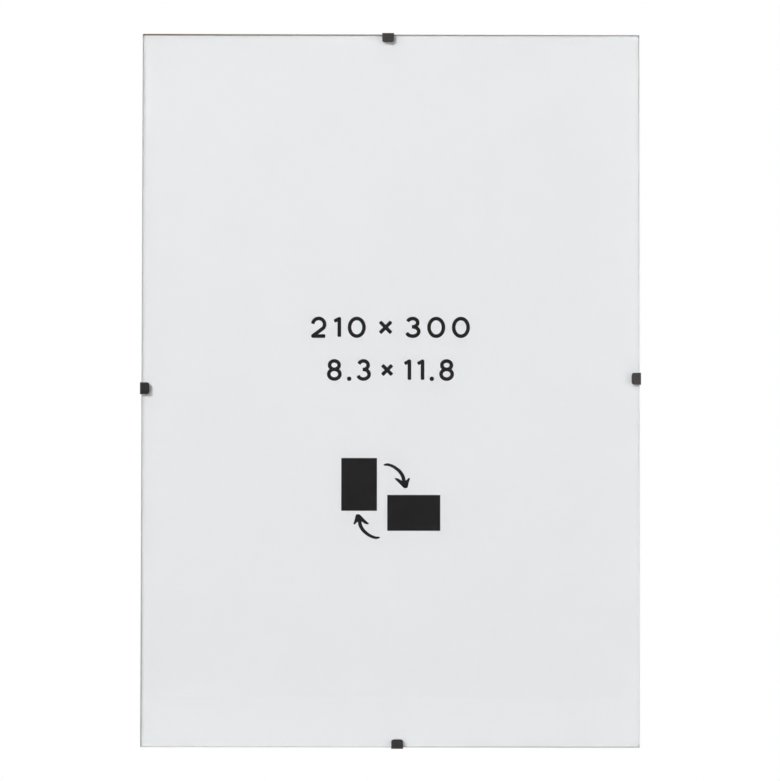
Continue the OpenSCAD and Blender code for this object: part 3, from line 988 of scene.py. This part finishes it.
def ring_path():
    k = math.hypot(BAR, RING_H - 2 * RING_R)
    ang = math.degrees(math.atan2(BAR, RING_H - 2 * RING_R))
    out = []

    def add(p, d):
        if not out or math.hypot(p[0] - out[-1][0][0], p[1] - out[-1][0][1]) > 0.02:
            out.append((p, d))

    def turn(cx, cz, a0, a1, n):
        for i in range(n + 1):
            a = math.radians(a0 + (a1 - a0) * i / n)
            add((cx + RING_R * math.cos(a), cz + RING_R * math.sin(a)), (-math.sin(a), math.cos(a)))

    def straight(p, q, n):
        d = unit(q[0] - p[0], q[1] - p[1])
        for i in range(n + 1):
            add((p[0] + (q[0] - p[0]) * i / n, p[1] + (q[1] - p[1]) * i / n), d)

    straight((-BAR, 0), (BAR, 0), 8)
    turn(BAR, RING_R, -90, ang, 22)
    a = math.radians(ang)
    p = (BAR + RING_R * math.cos(a), RING_R + RING_R * math.sin(a))
    q = (RING_R * math.cos(a), RING_H - RING_R + RING_R * math.sin(a))
    straight(p, q, 8)
    turn(0, RING_H - RING_R, ang, 180 - ang, 22)
    straight((-q[0], q[1]), (-p[0], p[1]), 8)
    turn(-BAR, RING_R, 180 - ang, 270, 22)
    if math.hypot(out[0][0][0] - out[-1][0][0], out[0][0][1] - out[-1][0][1]) < 0.02:
        out.pop()
    return out


def upright(x0, z0):
    return lambda x, y, z: (x0 + x, y, z0 + z)


def sideways(x0, z0):
    return lambda x, y, z: (x0 - z, y, z0 + x)


def make_hanger(side, put):
    # strap: from the tail's lower leaf, round the bar, down onto itself, back to the tail
    line = midline([(-11.5, 0.25), (0.0, 0.25), (0.0001, 0.25)], [0, 0, 0], step=0.5)
    line = [x for x in line if x[0][0] <= 0]
    for i in range(1, 25):
        a = math.radians(-90 + 180 * i / 24)
        line.append(((1.05 * math.cos(a), BAR_Y + 1.05 * math.sin(a)), (-math.sin(a), math.cos(a))))
    line += midline([(-0.02, 2.35), (-1.0, 2.35), (-4.0, 0.745), (-11.5, 0.745)], [0, 0.9, 1.6, 0], seg=8, step=0.5)[0:]
    dist = [0.0]
    for (a, _), (b, _) in zip(line, line[1:]):
        dist.append(dist[-1] + math.hypot(b[0] - a[0], b[1] - a[1]))
    ends = [4.0 * (1 - math.cos(math.radians(a))) for a in range(15, 91, 6)]
    line, dist = add_stations(line, ends + [-e for e in ends])

    def half(s, total, p):
        if p[0] >= -7.5:
            return 4.0
        return max(0.55, math.sqrt(max(0.0, 16 - (p[0] + 7.5) ** 2)))

    v, f, w = ribbon(line, dist, half, 0.5, lambda u, a, h: put(a, h, u), rc=0.09, spans=8)
    finish_mesh(side + "_hanger_strap", v, f, [M_PLATE], replaces=[side + "_strap"], sharp=40, edge_wear_and_highlight=w)

    v, f = sweep_ring(ring_path(), WIRE)
    c, s = math.cos(LEAN), math.sin(LEAN)
    v = [put(x, BAR_Y + y * c - z * s, y * s + z * c) for x, y, z in v]
    finish_mesh(side + "_hanger_ring", v, f, [M_PLATE], body=side + "_ring", replaces=[side + "_ring"],
                sharp=60, weighted=False)

    prof = [(0.0, -1.62), (0.6, -1.62), (0.77, -1.75), (0.77, -2.28), (0.9, -2.38), (1.15, -2.42), (2.2, -2.4), (2.5, -2.32),
            (2.6, -2.15), (2.6, -2.0), (2.5, -1.93), (1.5, -1.92), (1.4, -1.82), (1.4, 0.99), (2.72, 0.99), (2.8, 1.05), (2.8, 1.15)]
    prof += [(2.8 * math.cos(math.radians(a)), 1.15 + 0.55 * math.sin(math.radians(a))) for a in range(8, 90, 8)]
    prof += [(0.0, 1.7)]
    v, f = lathe(prof, lambda a, h, b: put(a, h, b - DROP), 72)
    finish_mesh(side + "_hanger_rivet", v, f, [M_RIVET], replaces=[side + "_rivet"], sharp=38,
                weighted=False)


make_glass()
make_paper()
make_print()
make_board()
make_clips()
make_hanger("portrait", upright(*HANG_P))
make_hanger("landscape", sideways(*HANG_L))


# ---------------------------------------------------------------- floor, light and camera

def make_floor():
    """It fades out towards the front, so the glass shows no hard edge of it, and only the part near the frame
    sends soft light back."""
    bm = bmesh.new()
    bmesh.ops.create_grid(bm, x_segments=40, y_segments=40, size=1.0)
    for v in bm.verts:
        v.co = Vector((v.co.x * 2.6, -1.4 + v.co.y * 2.2, -0.55))
    me = bpy.data.meshes.new("floor")
    bm.to_mesh(me)
    bm.free()
    m, n = material("pale_floor")
    grain = n.noise(60, 4, 0.6)
    matt = n.principled(Base_Color=n.ramp(grain, [(0.3, (0.72, 0.72, 0.715)), (0.7, (0.76, 0.76, 0.755))]),
                        Roughness=n.span(grain, 0.7, 0.85), Normal=n.bump(grain, 0.05, 0.0005))
    sep = n.add("ShaderNodeSeparateXYZ")
    n.link(n.position(), sep.inputs[0])
    path = n.add("ShaderNodeLightPath")
    fade = n.span(sep.outputs["Y"], 1.0, 0.0, -3.3, -1.6)
    outside = n.math("MAXIMUM", n.math("LESS_THAN", sep.outputs["Y"], -1.5),
                     n.math("GREATER_THAN", n.math("MULTIPLY", sep.outputs["X"], sep.outputs["X"]), 2.25))
    clear = n.add("ShaderNodeBsdfTransparent")
    mixer = n.add("ShaderNodeMixShader")
    n.link(n.math("MAXIMUM", fade, n.math("MULTIPLY", outside, path.outputs["Is Diffuse Ray"])), mixer.inputs[0])
    n.link(matt, mixer.inputs[1])
    n.link(clear.outputs[0], mixer.inputs[2])
    n.output(mixer.outputs[0])
    me.materials.append(m)
    o = bpy.data.objects.new("floor", me)
    bpy.context.scene.collection.objects.link(o)


def make_light(name, where, target, size, power, colour=(1, 1, 1), size_y=None):
    d = bpy.data.lights.new(name, "AREA")
    d.shape = "RECTANGLE"
    d.size, d.size_y = size, size_y or size
    d.energy = power
    d.color = colour
    o = bpy.data.objects.new(name, d)
    o.location = where
    o.rotation_mode = "QUATERNION"
    o.rotation_quaternion = (Vector(target) - Vector(where)).to_track_quat("-Z", "Y")
    o.visible_camera = False
    bpy.context.scene.collection.objects.link(o)
    return o


def make_world():
    """White to the camera. As light it is soft and even, and dim straight ahead, so the glass mirrors little.
    Behind the frame it falls off downwards, so the plated parts there keep their shape."""
    w = bpy.data.worlds.new("studio")
    bpy.context.scene.world = w
    w.use_nodes = True
    t = w.node_tree
    t.nodes.clear()
    n = Net(t)
    tc = n.add("ShaderNodeTexCoord")
    sep = n.add("ShaderNodeSeparateXYZ")
    n.link(tc.outputs["Generated"], sep.inputs[0])
    ahead = n.math("MULTIPLY", n.span(sep.outputs["Y"], 0.385, 0.05, -0.84, -0.965), n.span(sep.outputs["Y"], 1.0, 1.95, -0.25, 0.1))
    behind = n.math("MULTIPLY", n.span(sep.outputs["Y"], 0.0, 1.0, 0.02, 0.45), n.span(sep.outputs["Z"], 0.8, 0.25, -0.45, 0.7))
    strength = n.math("MULTIPLY", ahead, n.math("SUBTRACT", 1.0, behind))
    bg = n.add("ShaderNodeBackground")
    bg.inputs["Color"].default_value = (1, 1, 1, 1)
    n.link(strength, bg.inputs["Strength"])
    white = n.add("ShaderNodeBackground")
    white.inputs["Color"].default_value = (1, 1, 1, 1)
    white.inputs["Strength"].default_value = 1.0
    path = n.add("ShaderNodeLightPath")
    mixer = n.add("ShaderNodeMixShader")
    n.link(path.outputs["Is Camera Ray"], mixer.inputs[0])
    n.link(bg.outputs[0], mixer.inputs[1])
    n.link(white.outputs[0], mixer.inputs[2])
    out = n.add("ShaderNodeOutputWorld")
    n.link(mixer.outputs[0], out.inputs["Surface"])


make_floor()
make_world()
MID = (0.0, 0.0, CZ * MM)
make_light("key", (-1.305, -2.502, 0.903), MID, 0.735, 23.75)
make_light("fill", (1.0, -0.8, -0.02), MID, 0.44, 2.15).visible_glossy = False
make_light("rear_soft", (0.75, 1.25, 0.55), MID, 0.9, 14.0)

cd = bpy.data.cameras.new("camera")
cd.lens, cd.sensor_width, cd.sensor_fit = 109.1429, 36.0, "HORIZONTAL"
cd.clip_start, cd.clip_end = 0.05, 20
cam = bpy.data.objects.new("camera", cd)
cam.matrix_world = Matrix(((0.999989290, -0.001834594, -0.004248915, -0.0044929),
                           (-0.004283353, -0.019194290, -0.999806597, -1.0),
                           (0.001752684, 0.999814089, -0.019201943, -0.1343694),
                           (0, 0, 0, 1)))
bpy.context.scene.collection.objects.link(cam)
bpy.context.scene.camera = cam
bpy.context.scene.view_settings.view_transform = "Standard"
bpy.context.scene.view_settings.look = "None"
